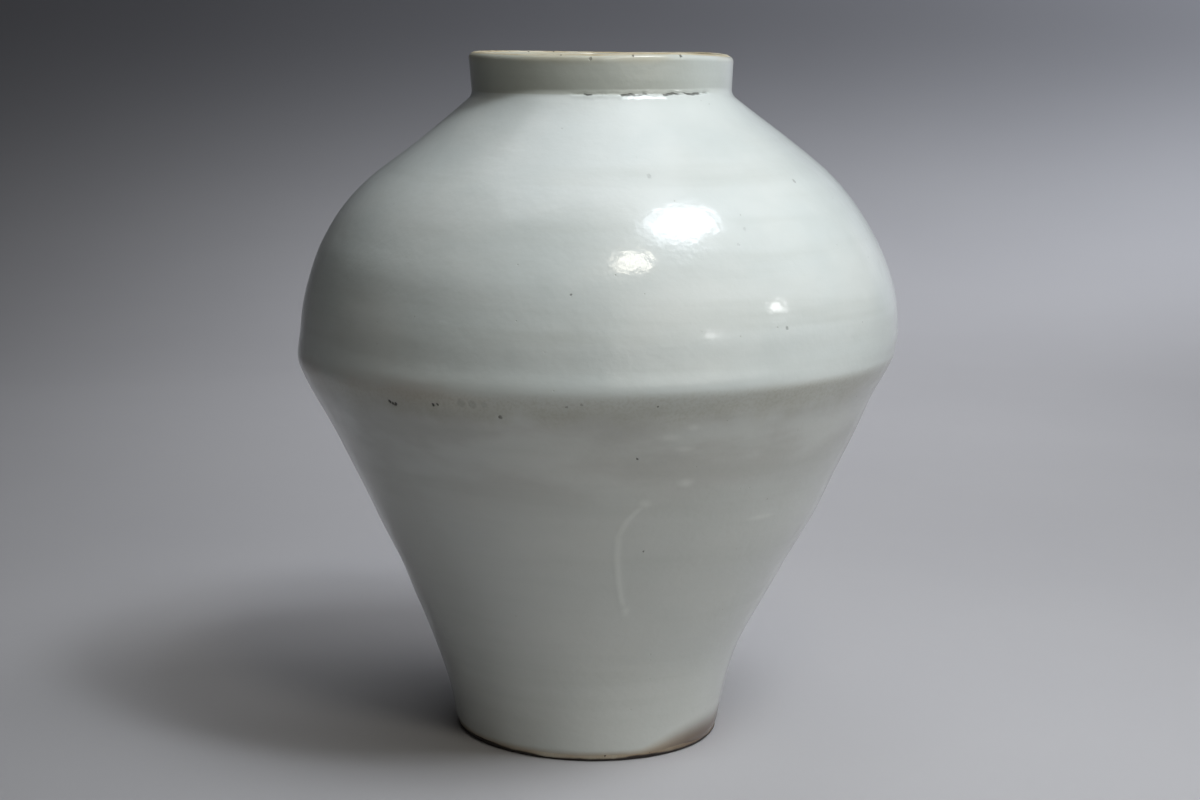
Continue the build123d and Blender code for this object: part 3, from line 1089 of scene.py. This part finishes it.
def inner_depth(points):
    """Thickness of the inner glaze, with the bead of the belly joint and the throwing rings."""
    rings = RING_DEPTH * field(points, RING_WAVES, seed=9)
    rings *= ramp(points[..., 2], RING_FROM, RING_FULL) * ramp(above_neck(points), 0, -RING_NECK_FADE)
    waves = INNER_DEPTH * field(points, INNER_WAVES, seed=8)
    return GLAZE + bead_swell(above_seam(points)) + waves + rings


def inner_glaze(glaze):
    """Coat of the inside, from the middle of the floor to the lip."""
    bore_turn = rounding(bore_foot, up_shoulder, np.array([0, 1]), BORE_ROUND, 8)
    upper_line = joined(
        hollow_line[:-1],
        bore_turn,
        straight(bore_turn[-1], bore_neck, 4),
        straight(bore_neck, inner_lip_turn[-1], 12),
        inner_lip_turn[::-1][:INNER_LIP_COVER],
    )
    angles = round_angles(CLAY_COLUMNS)
    lower_rows = lower_half(even(bowl_line, INNER_ROWS), angles)
    upper_rows = upper_half(even(upper_line, INNER_ROWS)[1:], angles)
    clay = worked(np.concatenate([lower_rows, upper_rows]))
    back = clay + outward(clay) * COAT_LAP
    face = clay - outward(clay) * inner_depth(clay)[..., None]
    points = np.concatenate([back, face[::-1]])
    piece("inner_glaze_coat", "inner_glaze", glaze, points, ends_on_axis=True)


# Stage, lamps and camera

# Round paper sweep: its middle, reach, the turn into the wall and the wall's height
FLOOR_MIDDLE = (0, -0.8, 0)
FLOOR_REACH = 4.4
WALL_ROUND = 2.2
WALL_HEIGHT = 2.6
SWEEP_COLUMNS = 96

# Where the paper's painted shade is full: height, and place to the left
PAPER_SHADE_HEIGHT = 0.48
PAPER_SHADE_LEFT = -1.2

# Distance of the lamps that stand round the jar, and what they face
LAMP_DISTANCE = 2.0
AIM = Vector((0, 0, 0.25))
KEY_AIM = Vector((0.22, -0.05, 0.15))

# Lamps over the jar, over the floor behind it and beside the wall, and what they face
TOP_PLACE = Vector((-0.2, 0.4, 2.4))
TOP_AIM = Vector((-0.2, 0.4, 0))
FLOOR_LAMP_PLACE = Vector((0.4, 1.45, 1.7))
FLOOR_LAMP_AIM = Vector((0.4, 1.45, 0))
WALL_LAMP_PLACE = Vector((2.2, 1.2, 1.3))
WALL_LAMP_AIM = Vector((0.8, 3.3, 0.85))

# Colours of the lamps and of the room's light, and how strong that is
KEY_COLOUR = (0.95, 1.0, 1.07)
FILL_COLOUR = (1.0, 0.97, 0.90)
TOP_COLOUR = (0.97, 1.0, 1.05)
SIDE_COLOUR = (1.0, 1.0, 1.03)
SECOND_COLOUR = (1.0, 0.95, 0.84)
WINDOW_COLOUR = (1.0, 1.0, 1.0)
WALL_COLOUR = (0.95, 1.0, 1.10)
FLOOR_COLOUR = (0.97, 1.0, 1.06)
ROOM_COLOUR = (1.0, 0.94, 0.85)
ROOM_STRENGTH = 0.03

# Camera
SENSOR_WIDTH = 36
PICTURE_WIDTH = 1200
FOCAL_PIXELS = 2180.5
CAMERA_PLACE = (0.0040, -1.3335, 0.4357)
CAMERA_PITCH = radians(9.76)
CAMERA_ROLL = radians(1.296)


def backdrop(paper):
    """Round paper sweep: a floor that turns up into a wall on every side."""
    corner = np.array([FLOOR_REACH, 0])
    turn = rounding(corner, -inward, np.array([0, 1]), WALL_ROUND, 20)
    wall = straight(turn[-1], (FLOOR_REACH, WALL_HEIGHT), 3)
    section = joined(straight((AXIS_GAP, 0), turn[0], 8), turn, wall)
    points = turned(section[:, :1], section[:, 1:], round_angles(SWEEP_COLUMNS)) + np.array(FLOOR_MIDDLE)
    rows, columns = points.shape[:2]
    faces = ring_faces(rows, columns, joins=False) + [list(range(columns))]
    smooth_object("backdrop", points, faces, paper)


def lamp(name, place, target, shape, size, power, colour, spread=180, mirrored=True):
    """Soft box that faces its target; mirrored says whether the glaze reflects it."""
    light = bpy.data.lights.new(name, "AREA")
    light.shape = shape
    light.size, light.size_y = size
    light.energy = power
    light.color = colour
    light.spread = radians(spread)
    box = bpy.data.objects.new(name, light)
    box.location = place
    box.rotation_euler = (place - target).to_track_quat("Z", "Y").to_euler()
    box.visible_camera = False
    box.visible_glossy = mirrored
    bpy.context.scene.collection.objects.link(box)


def seen_from_jar(turn, climb):
    """Place of a lamp that stands at an azimuth and an elevation from the jar."""
    return AIM + LAMP_DISTANCE * Vector(turned(cos(radians(climb)), sin(radians(climb)), radians(turn)))


def key_lamps():
    """Large soft lamp at the front right, its bright middle, and the small one that draws the shadow."""
    lamp("key", seen_from_jar(55, 61.5), KEY_AIM, "ELLIPSE", (1.0, 0.64), 1.5, KEY_COLOUR, 75)
    lamp("key_middle", seen_from_jar(56, 61.2), KEY_AIM, "ELLIPSE", (0.78, 0.48), 1.4, KEY_COLOUR, 75)
    place = seen_from_jar(47, 53)
    lamp("key_shadow", place, KEY_AIM, "ELLIPSE", (0.3, 0.3), 1.8, KEY_COLOUR, 75, mirrored=False)


def fill_lamps():
    """Wide soft light from the front, from above and from the right."""
    lamp("fill", seen_from_jar(33, 16), AIM, "RECTANGLE", (2.2, 1.4), 3.2, FILL_COLOUR, 100)
    lamp("top", TOP_PLACE, TOP_AIM, "RECTANGLE", (1.8, 1.8), 3.9, TOP_COLOUR, 110)
    place = seen_from_jar(98, 45)
    lamp("side", place, AIM, "RECTANGLE", (1.0, 1.0), 2.8, SIDE_COLOUR, 90, mirrored=False)


def window_lamps():
    """Small lamps that show as bright spots in the glaze."""
    lamp("second", seen_from_jar(14.6, 49.0), AIM, "ELLIPSE", (0.42, 0.26), 3.7, SECOND_COLOUR)
    lamp("side_window", seen_from_jar(69, 18.5), AIM, "RECTANGLE", (0.18, 0.20), 1.8, WINDOW_COLOUR)
    lamp("low_window", seen_from_jar(40.5, 10.2), AIM, "RECTANGLE", (0.2, 0.14), 0.6, WINDOW_COLOUR)


def backdrop_lamps():
    """Light on the wall at the right and on the floor behind the jar."""
    lamp("wall", WALL_LAMP_PLACE, WALL_LAMP_AIM, "ELLIPSE", (0.8, 0.8), 28, WALL_COLOUR, 100)
    place, target = FLOOR_LAMP_PLACE, FLOOR_LAMP_AIM
    lamp("floor", place, target, "RECTANGLE", (2.0, 1.2), 6.5, FLOOR_COLOUR, 78, mirrored=False)


def room_light(strength, colour):
    """Even light of the room from every side."""
    world = bpy.data.worlds.new("room")
    world.use_nodes = True
    sky = world.node_tree.nodes["Background"]
    sky.inputs["Color"].default_value = (*colour, 1)
    sky.inputs["Strength"].default_value = strength
    bpy.context.scene.world = world


def camera():
    """Camera of the photograph: a little above the lip, pitched down and slightly rolled."""
    lens = bpy.data.cameras.new("camera")
    lens.sensor_width = SENSOR_WIDTH
    lens.lens = FOCAL_PIXELS / PICTURE_WIDTH * SENSOR_WIDTH
    eye = bpy.data.objects.new("camera", lens)
    pitch = Matrix.Rotation(radians(90) - CAMERA_PITCH, 4, "X")
    roll = Matrix.Rotation(CAMERA_ROLL, 4, "Z")
    eye.matrix_world = Matrix.Translation(CAMERA_PLACE) @ pitch @ roll
    bpy.context.scene.collection.objects.link(eye)
    bpy.context.scene.camera = eye


# The jar and its surroundings

clay = bare_clay()
slip = luting_slip()
glaze = white_glaze()
lower_bowl(clay)
upper_bowl(clay)
neck_collar(clay)
belly_luting(slip)
neck_luting(slip)
outer_glaze(glaze)
inner_glaze(glaze)

backdrop(studio_paper())
key_lamps()
fill_lamps()
window_lamps()
backdrop_lamps()
room_light(ROOM_STRENGTH, ROOM_COLOUR)
camera()
bpy.context.scene.view_settings.view_transform = "Standard"
